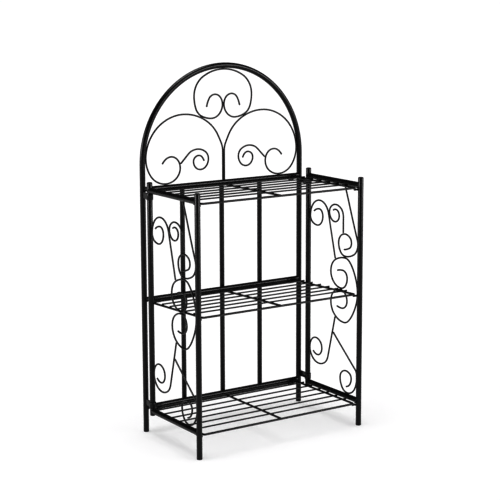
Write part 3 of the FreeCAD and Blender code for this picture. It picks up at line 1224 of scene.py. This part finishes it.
    def strap_path(self) -> list[complex]:
        """Middle of a strap, from one tail round the rear upright to the other.

        Returns:
            Points of the path, with the upright's axis at 0.
        """
        stock = self.stock
        half, sheet, bend = stock.tube / 2, self.strap_sheet, self.strap_bend
        ring = half + stock.running_clearance + sheet / 2
        flank = sheet / 2 + self.strap_gap
        rise = math.sqrt((ring + bend) ** 2 - (flank + bend) ** 2)
        lean = math.atan2(rise, flank + bend)
        tail = stock.hinge_setback - math.sqrt(half**2 - self.strap_seat**2) + self.strap_bite
        knee = complex(flank, rise)
        touch, turned = cmath.rect(ring, lean), cmath.rect(ring, math.pi - lean)
        path = [complex(flank, tail), knee, *arc(knee, -1j, touch, self.flank_sag)]
        path += arc(touch, cmath.rect(1, lean - math.pi / 2), turned, self.eye_sag)
        path += arc(turned, cmath.rect(1, math.pi / 2 - lean), complex(-flank, rise), self.flank_sag)
        return [*path, complex(-flank, tail)]

    def build_straps(self) -> None:
        """Makes the four strap hinges and their welds to the legs."""
        stock, sheet, path = self.stock, self.strap_sheet, self.strap_path()
        half, inset = stock.tube / 2, self.strap_weld_inset
        lows = {"top": stock.top_bar - half - self.strap_end_float - self.strap_height,
                "bottom": stock.bottom_bar + half + self.strap_end_float}
        seams = []
        for side, sign in SIDES.items():
            for place, low in lows.items():
                pin = Vector((sign * (stock.leg_x + stock.side_frame_offset), -stock.hinge_setback, low))
                strap = ribbon(path, sheet, pin, pin + UP * self.strap_height, ACROSS, DEPTH)
                self.shell(f"strap_{side}_{place}", strap, f"hinge_strap_{side}_{place}",
                           bevel=self.strap_edge)
                for edge in (-sheet, sheet):
                    x = pin.x + edge * self.strap_weld_place
                    y = -math.sqrt(half**2 - (x - sign * stock.leg_x) ** 2) - self.strap_weld_lift
                    seams.append(Line.straight((x, y, low + inset), UP, (0, self.strap_height - 2 * inset)))
        self.welds("strap_welds", seams, stock.weld)

    def clip_path(self) -> list[complex]:
        """Middle of a clip, from its mouth round the pivot rod to its tail.

        Returns:
            Points of the path, with the rod's axis at 0.
        """
        stock, bend = self.stock, self.clip_bend
        ring = (stock.clip_ring - stock.clip_sheet) / 2
        tail = -(stock.rail / 2 + stock.seat_gap) - stock.clip_sheet / 2 - stock.pivot_y
        rise = math.sqrt((ring + bend) ** 2 - (tail + bend) ** 2)
        leave = math.degrees(math.atan2(rise, tail + bend))
        mouth = leave + self.clip_mouth
        start, turned = ring * heading_of(mouth), ring * heading_of(leave)
        path = [start, *arc(start, heading_of(mouth + 90), -start, self.eye_sag)]
        path += arc(-start, heading_of(mouth + 270), turned, self.eye_sag)
        path += arc(turned, heading_of(leave + 90), complex(tail, rise), self.eye_sag)
        return [*path, complex(tail, stock.pivot_drop + self.clip_rise)]

    def build_clips(self) -> None:
        """Makes the clips that hold the shelves' pivot rods, two to a rail, and their welds."""
        stock, path, seams = self.stock, self.clip_path(), []
        crease = -stock.rail / 2 - self.clip_weld_lift
        for place, height in stock.rails.items():
            points, faces = [], []
            for sign in SIDES.values():
                low = Vector((sign * self.clip_place * stock.leg_x - self.clip_width / 2,
                              stock.pivot_y, height - stock.pivot_drop))
                high = low + ACROSS * self.clip_width
                more = ribbon(path, stock.clip_sheet, low, high, DEPTH, UP, len(points))
                points, faces = points + more[0], faces + more[1]
                for edge in (0, self.clip_width):
                    seams.append(Line.straight((low.x + edge, crease, height), UP, self.clip_weld_run))
            self.shell(f"pivot_clips_{place}", (points, faces), f"shelf_clips_{place}", bevel=self.clip_edge)
        self.welds("clip_welds", seams, self.clip_weld)

    def build(self) -> None:
        """Makes the whole back frame."""
        self.build_tube()
        self.build_rails()
        self.build_uprights()
        self.build_rail_welds()
        self.build_scrolls()
        self.build_straps()
        self.build_clips()


@dataclass
class SideFrame(SubAssembly):
    """Side frame: two uprights, two bars, six scroll wires, plugs and shelf rests.

    A row of a wire is a place in the frame's opening, as shares of its depth from the front
    and of its height, the heading there in degrees, and the side on which the wire touches
    something, or 0. A fillet's point is its distance behind the upright and below the bar.
    """

    side: str
    sign: int
    height: float = 607.5
    rear_start: float = 51.5
    bar_bite: float = 0.02
    seam_inset: float = 0.1
    seam_points: int = 32
    corner_weld: float = 3.6
    fillet: tuple[tuple[float, float], ...] = ((0.8, 1.6), (6.0, 0.6), (11.0, -0.6))
    peg_fillet: tuple[float, float] = (2.2, 0.4)
    peg_fillet_run: tuple[float, ...] = (2.2, 3.2, 4.2)
    butt_weld_run: tuple[float, ...] = (-1.1, 0, 1.1)
    rest_rod: float = 4.5
    rest_edge: float = 0.8
    rest_overlap: float = 0.5
    rest_gap: float = 0.3
    rest_weld: float = 2.0
    rest_weld_heights: tuple[float, float] = (-1.5, 1.5)
    rest_weld_run: tuple[float, ...] = (2.6, 3.6, 4.6)
    wires: dict[str, tuple[Row, ...]] = field(default_factory=lambda: {
        "upper_rear": (
            (0.910, 0.846, 140, 0), (0.802, 0.861, 180, 0), (0.726, 0.828, 270, 0), (0.847, 0.780, 0, 0),
            (1, 0.822, 90, 1), (0.790, 0.903, 180, 0), (0.596, 0.848, 255.5, 1), (0.459, 0.635, 255.5, 0)),
        "upper_middle": (
            (0.510, 0.870, 145, 0), (0.389, 0.848, 270, 0), (0.478, 0.816, 0, 0), (0.596, 0.848, 75.5, 1),
            (0.459, 0.899, 180, 0), (0.304, 0.848, 270, 0), (0.304, 0.750, 270, 0)),
        "upper_front": (
            (0.282, 0.693, 170, 0), (0.138, 0.731, 90, 0), (0.262, 0.768, 0, 0), (0.396, 0.722, 270, 0),
            (0.264, 0.658, 180, -1), (0, 0.731, 90, -1), (0.046, 0.775, 67.6, 0), (0.290, 1.012, 67.6, 0)),
        "middle": (
            (0.415, 0.586, 162, 0), (0.307, 0.592, 180, 0), (0.218, 0.557, 270, 0), (0.345, 0.500, 0, 1),
            (0.552, 0.576, 90, 0), (0.264, 0.658, 180, 1), (0.107, 0.612, 237, 0), (0, 0.500, 270, 1),
            (0.112, 0.388, 304, 0), (0.282, 0.342, 0, 0), (0.548, 0.430, 90, 0), (0.345, 0.500, 180, 1),
            (0.218, 0.448, 270, 0), (0.332, 0.408, 0, 0), (0.421, 0.413, 16, 0)),
        "lower_rear": (
            (0.917, 0.154, 222, 0), (0.828, 0.140, 180, 0), (0.732, 0.179, 90, 0), (0.859, 0.223, 0, 0),
            (1, 0.169, 270, -1), (0.795, 0.099, 180, 0), (0.602, 0.150, 104.6, 0), (0.453, 0.366, 104.6, 0)),
        "lower_front": (
            (0.218, 0.034, 170, 0), (0.119, 0.080, 90, 0), (0.226, 0.110, 0, 0), (0.345, 0.070, 270, 0),
            (0.200, 0, 180, -1), (0, 0.087, 90, -1), (0.040, 0.131, 40.1, 0), (0.520, 0.286, 40.1, 0)),
    })

    @property
    def body(self) -> str:
        """Body that the frame rides on."""
        return f"{self.side}_side_frame"

    @property
    def x(self) -> float:
        """Place of the frame's plane."""
        return self.sign * (self.stock.leg_x + self.stock.side_frame_offset)

    @property
    def inwards(self) -> Vector:
        """Direction from the frame towards the shelves."""
        return ACROSS * -self.sign

    def place_of(self, row: Row) -> complex:
        """Place in the frame's opening that a row of shares names.

        Args:
            row: The row.

        Returns:
            The place in the frame's plane.
        """
        stock = self.stock
        wall = (stock.tube + stock.seat_gap) / 2
        corner = complex(stock.front_y + wall, stock.bottom_bar + wall)
        far = complex(-stock.hinge_setback - wall, stock.top_bar - wall)
        return corner + row[0] * (far - corner).real + row[1] * (far - corner).imag * 1j

    def point(self, place: complex) -> Vector:
        """Point in the frame's plane of a flat place."""
        return Vector((self.x, place.real, place.imag))

    def build_tubes(self) -> None:
        """Makes the two uprights, and the two bars with their seams."""
        stock, x, rear = self.stock, self.x, -self.stock.hinge_setback
        starts = {"front": (stock.front_y, stock.foot_height), "rear": (rear, self.rear_start)}
        for place, (y, low) in starts.items():
            line = Line.straight((x, y, 0), UP, (low, self.height))
            self.tube(f"{self.side}_{place}_tube", line, f"{self.side}_{place}_upright")
        seams = []
        for place, height in stock.bars.items():
            front, back = Vector((x, stock.front_y, height)), Vector((x, rear, height))
            bar = coped_tube(front, back, stock.tube, stock.tube, self.bar_bite, stock.tube_sides)
            self.shell(f"{self.side}_{place}_bar_tube", bar, f"{self.side}_{place}_bar")
            for end, reach in ((front, DEPTH), (back, -DEPTH)):
                rim = saddle(end, reach, stock.tube - self.seam_inset, stock.tube, self.seam_points)
                seams.append(Line(rim))
        self.welds(f"{self.side}_bar_welds", seams, stock.weld, closed=True)

    def build_corner_welds(self) -> None:
        """Makes the heavier welds in the front corners, under the bars and beside the pegs."""
        half, fillets, beads = self.stock.tube / 2, [], []
        behind = self.stock.front_y + half
        out, down = self.peg_fillet
        for height in self.stock.bars.values():
            under = height - half
            fillets.append(Line([self.point(complex(behind + y, under - z)) for y, z in self.fillet]))
            seat = (self.x, behind + out, under - down)
            beads.append(Line.straight(seat, self.inwards, self.peg_fillet_run))
        self.welds(f"{self.side}_corner_welds", fillets + beads, self.corner_weld)

    def build_plugs(self) -> None:
        """Makes the foot plug and the three domed plugs."""
        stock, x, rear = self.stock, self.x, -self.stock.hinge_setback
        foot = lathe([(Vector((x, stock.front_y, 0)), 1)], stock.foot_profile(), stock.tube_sides)
        self.shell(f"{self.side}_foot_plug", foot, f"{self.side}_foot", Slot.PLASTIC)
        ends = [(Vector((x, stock.front_y, self.height)), 1), (Vector((x, rear, self.height)), 1),
                (Vector((x, rear, self.rear_start)), -1)]
        caps = lathe(ends, stock.cap_profile(), stock.tube_sides)
        self.shell(f"{self.side}_cap_plugs", caps, f"{self.side}_caps", Slot.PLASTIC)

    def build_wires(self) -> None:
        """Makes the six scroll wires and their welds."""
        stock, routes = self.stock, {}
        for name, rows in self.wires.items():
            nodes = [stock.node(self.place_of(row), row[2], row[3]) for row in rows]
            routes[name] = smooth_route(nodes, stock.sag)
        bar = [complex(y, stock.top_bar) for y in (stock.front_y, -stock.hinge_setback)]
        butt = stock.butt_share * stock.touching
        meets = {"upper_rear": (routes["middle"], butt), "upper_middle": (routes["upper_front"], butt),
                 "upper_front": (bar, (stock.tube - stock.wire) / 2 + butt),
                 "lower_rear": (routes["middle"], butt), "lower_front": (routes["lower_rear"], butt)}
        spots = []
        for name, (other, spacing) in meets.items():
            routes[name] = butted(routes[name], other, spacing)
            spots.append(Line.straight(self.point(routes[name][-1]), ACROSS, self.butt_weld_run))
        for name, route in routes.items():
            line = Line([self.point(p) for p in route])
            self.wire(f"{self.side}_wire_{name}", line, f"{self.side}_scroll_{name}")
            for row in self.wires[name]:
                if row[3]:
                    spots += touching_welds(self.place_of(row), row[2], self.point, ACROSS)
        self.welds(f"{self.side}_wire_welds", spots, stock.wire_weld)

    def build_rests(self) -> None:
        """Makes the three pegs that the shelves rest on, and their welds."""
        stock = self.stock
        near = stock.wire / 2 + 2 * stock.seat_gap
        far = abs(self.x) - stock.shelf_half + self.rest_overlap
        behind = math.sqrt((stock.tube / 2 + stock.seat_gap) ** 2 - near**2)
        y = stock.front_y + behind + self.rest_rod / 2
        lines, spots = [], []
        for place, height in stock.rails.items():
            rise = (stock.pivot_y - y) * math.tan(math.radians(stock.tilts[place]))
            under = (stock.shelf_rod + self.rest_rod) / 2 + self.rest_gap
            z = height - stock.pivot_drop + rise - under
            peg = Line.straight((self.x, y, z), self.inwards, (near, far))
            lines.append(peg.rounded(self.rest_rod, self.rest_edge))
            for over in self.rest_weld_heights:
                seat = (self.x, stock.front_y + behind, z + over)
                spots.append(Line.straight(seat, self.inwards, self.rest_weld_run))
        self.steel(f"{self.side}_rest_pegs", lines, self.rest_rod, stock.shelf_rod_sides,
                   f"{self.side}_shelf_rests")
        self.welds(f"{self.side}_rest_welds", spots, self.rest_weld)

    def build(self) -> None:
        """Makes the whole side frame."""
        self.build_tubes()
        self.build_corner_welds()
        self.build_plugs()
        self.build_wires()
        self.build_rests()


@dataclass
class WireShelf(SubAssembly):
    """Shelf: pivot rod, bent frame, middle rod, cross wires and their spot welds."""

    place: str
    rail_height: float
    cross_wire: float = 3.5
    cross_wire_edge: float = 0.6
    cross_wires: int = 6
    overhang: float = 0.35
    setback: float = 2.0
    corner: float = 6.0
    spot_weld: float = 1.6
    spot_weld_depths: tuple[float, float] = (-1.25, 1.25)
    spot_weld_run: tuple[float, ...] = (-0.9, 0, 0.9)
    end_weld_lift: float = 0.1
    end_weld_run: tuple[float, ...] = (-2, -1, 0, 1, 2)

    @property
    def body(self) -> str:
        """Body that the shelf rides on."""
        return f"{self.place}_shelf"

    @property
    def height(self) -> float:
        """Height of the pivot rod and of the level frame."""
        return self.rail_height - self.stock.pivot_drop

    @property
    def front(self) -> float:
        """Place of the frame's front rod."""
        return self.stock.front_y + self.setback

    @property
    def back(self) -> float:
        """Place where the frame's rods meet the pivot rod."""
        return self.stock.pivot_y - self.stock.shelf_rod / 2 - self.stock.seat_gap

    @property
    def step(self) -> float:
        """Step from each cross wire to the next, towards the front."""
        return self.front / (self.cross_wires + 1)

    def build_rods(self) -> list[bpy.types.Object]:
        """Makes the bent rod, the pivot rod and the middle rod.

        Returns:
            The three pieces.
        """
        stock, place, half = self.stock, self.place, self.stock.shelf_half
        front, back, corner = self.front, self.back, self.corner
        rod, height = stock.shelf_rod, self.height
        nodes = ((complex(-half, back), -1j), (complex(-half, front + corner), -1j),
                 (complex(corner - half, front), 1), (complex(half - corner, front), 1),
                 (complex(half, front + corner), 1j), (complex(half, back), 1j))
        bent = Line([Vector((p.real, p.imag, height)) for p in smooth_route(nodes, stock.sag)])
        ends = (-half - rod / 2, half + rod / 2)
        pivot = Line.straight((0, stock.pivot_y, height), ACROSS, ends).rounded(rod, stock.wire_edge)
        middle = Line.straight((0, 0, height), DEPTH, (back, front + rod / 2 + stock.seat_gap))
        rods = {(f"{place}_shelf_bent_rod", f"shelf_frame_{place}"): bent,
                (f"{place}_shelf_pivot_rod", f"shelf_pivot_{place}"): pivot,
                (f"{place}_shelf_middle_rod", f"shelf_middle_{place}"): middle}
        return [self.steel(name, [line], rod, stock.shelf_rod_sides, node)
                for (name, node), line in rods.items()]

    def build_cross_wires(self) -> bpy.types.Object:
        """Makes the row of cross wires.

        Returns:
            The wires, in one piece.
        """
        stock, bench = self.stock, self.bench
        level = self.height + (stock.shelf_rod + self.cross_wire) / 2 + stock.seat_gap
        reach = stock.shelf_half + stock.shelf_rod / 2 + self.overhang
        line = Line.straight((0, self.step, level), ACROSS, (-reach, reach))
        line = line.rounded(self.cross_wire, self.cross_wire_edge)
        sizes = {"Wires": self.cross_wires, "Step": DEPTH * self.step * METRES,
                 "Diameter": self.cross_wire * METRES, "Sides": stock.wire_sides}
        source = bench.line_mesh(f"{self.place}_shelf_cross_wires", [line])
        return bench.finished(bench.grown(bench.cross_wires, source, sizes), self.body,
                              f"shelf_wires_{self.place}")

    def build_welds(self) -> bpy.types.Object:
        """Makes the spot welds under the cross wires and the welds at the rods' ends.

        Returns:
            The welds, in one piece.
        """
        stock, half, spots = self.stock, self.stock.shelf_half, []
        crease = self.height + stock.shelf_rod / 2 + stock.seat_gap / 2
        for index in range(1, self.cross_wires + 1):
            for x in (-half, 0, half):
                for over in self.spot_weld_depths:
                    place = (x, index * self.step + over, crease)
                    spots.append(Line.straight(place, ACROSS, self.spot_weld_run))
        ends = [(x, self.back + self.end_weld_lift) for x in (-half, 0, half)]
        ends.append((0, self.front + stock.shelf_rod / 2 + self.end_weld_lift))
        spots += [Line.straight((x, y, self.height), ACROSS, self.end_weld_run) for x, y in ends]
        return self.welds(f"{self.place}_shelf_welds", spots, self.spot_weld)

    def build(self) -> None:
        """Makes the whole shelf, level at first, and tilts it about its pivot rod."""
        pieces = [*self.build_rods(), self.build_cross_wires(), self.build_welds()]
        pin = Matrix.Translation(self.bench.metres(Vector((0, self.stock.pivot_y, self.height))))
        turn = Matrix.Rotation(-math.radians(self.stock.tilts[self.place]), 4, "X")
        for piece in pieces:
            piece.data.transform(pin @ turn @ pin.inverted())


@dataclass
class Studio:
    """Floor, lights and the camera at the photograph's place, in metres and radians.

    A wall is the turn of its middle from the camera's right, in degrees, and its glow. The
    overhead light's angle is how wide it looks, in degrees.
    """

    legs_plane: float
    lens: float = 104.005
    sensor: float = 36.0
    shift: tuple[float, float] = (0.0, -0.05)
    sight: tuple[float, float] = (0.05, 2000)
    place: tuple[float, float, float] = (-1.87338, -2.91987, 1.0764)
    yaw: float = -0.58878
    pitch: float = -0.16979
    roll: float = -0.0028
    floor_half: float = 300.0
    floor_drop: float = 0.0002
    overhead_place: tuple[float, float, float] = (-0.15, 0.0, 3.6)
    overhead_strength: float = 3.0
    overhead_angle: float = 42.0
    walls: tuple[tuple[float, float], ...] = ((-20.0, 13.5), (200.0, 13.5))
    wall_colour: Colour = (1, 0.995, 1, 1)
    wall_focus: float = 18.0
    dim_glow: float = 0.06
    display_gamma: float = 0.6

    def build_camera(self) -> None:
        """Makes the camera and sets it."""
        forward = Vector((-math.sin(self.yaw) * math.cos(self.pitch),
                          math.cos(self.yaw) * math.cos(self.pitch), math.sin(self.pitch)))
        right = Vector((math.cos(self.yaw), math.sin(self.yaw), 0))
        above = right.cross(forward)
        side = math.cos(self.roll) * right + math.sin(self.roll) * above
        top = math.cos(self.roll) * above - math.sin(self.roll) * right
        data = bpy.data.cameras.new("photo_camera")
        data.sensor_width, data.lens = self.sensor, self.lens
        data.shift_x, data.shift_y = self.shift
        data.clip_start, data.clip_end = self.sight
        camera = placed("photo_camera", data)
        camera.rotation_euler = Matrix((side, top, -forward)).transposed().to_euler()
        camera.location = Vector(self.place) + DEPTH * self.legs_plane
        bpy.context.scene.camera = camera

    def build_floor(self) -> None:
        """Makes the pale floor, just under the feet."""
        mesh = bpy.data.meshes.new("floor")
        corners = [(x * self.floor_half, y * self.floor_half, -self.floor_drop)
                   for x, y in ((-1, -1), (1, -1), (1, 1), (-1, 1))]
        mesh.from_pydata(corners, [], [(0, 1, 2, 3)])
        mesh.materials.append(PaleFloor().material())
        placed("floor", mesh)

    def build_overhead(self) -> None:
        """Makes the large soft light overhead."""
        data = bpy.data.lights.new("overhead", "SUN")
        data.energy = self.overhead_strength
        data.angle = math.radians(self.overhead_angle)
        light = placed("overhead", data)
        light.location = self.overhead_place
        light.rotation_euler = Vector(self.overhead_place).to_track_quat("Z", "Y").to_euler()

    def build_room(self) -> None:
        """Makes the room's light: wide glowing walls in the dim, and a white backdrop."""
        world = bpy.data.worlds.new("studio")
        world.use_nodes = True
        world.node_tree.nodes.clear()
        graph = Graph(world.node_tree)
        look = graph.add("ShaderNodeTexCoord").outputs["Generated"]
        glow = self.dim_glow
        for turn, strength in self.walls:
            angle = self.yaw + math.radians(turn)
            feeds = {"Vector": look, "Vector_001": (math.cos(angle), math.sin(angle), 0)}
            side = graph.add("ShaderNodeVectorMath", feeds, operation="DOT_PRODUCT").outputs["Value"]
            share = graph.calculate("MAXIMUM", side, 0.0)
            lobe = graph.calculate("POWER", share, self.wall_focus)
            glow = graph.calculate("MULTIPLY_ADD", lobe, strength, glow)
        room = graph.add("ShaderNodeBackground", {"Color": self.wall_colour, "Strength": glow})
        backdrop = graph.add("ShaderNodeBackground", {"Color": (1, 1, 1, 1), "Strength": 1.0})
        seen = graph.add("ShaderNodeMixShader", {
            "Fac": graph.add("ShaderNodeLightPath").outputs["Is Camera Ray"],
            "Shader": room.outputs[0], "Shader_001": backdrop.outputs[0]})
        graph.add("ShaderNodeOutputWorld", {"Surface": seen.outputs[0]})
        bpy.context.scene.world = world

    def build(self) -> None:
        """Makes the whole set."""
        self.build_camera()
        self.build_floor()
        self.build_overhead()
        self.build_room()
        bpy.context.scene.view_settings.view_transform = "Standard"
        bpy.context.scene.view_settings.gamma = self.display_gamma


def main() -> None:
    """Builds the set and every sub-assembly."""
    logging.basicConfig(level=logging.INFO, format="%(name)s %(message)s")
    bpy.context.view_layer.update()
    bench, stock = Bench(), Stock()
    Studio(bench.legs_plane.y).build()
    ArchFrame(stock, bench).build()
    for side, sign in SIDES.items():
        SideFrame(stock, bench, side, sign).build()
    for place, height in stock.rails.items():
        WireShelf(stock, bench, place, height).build()


if __name__ == "__main__":
    main()
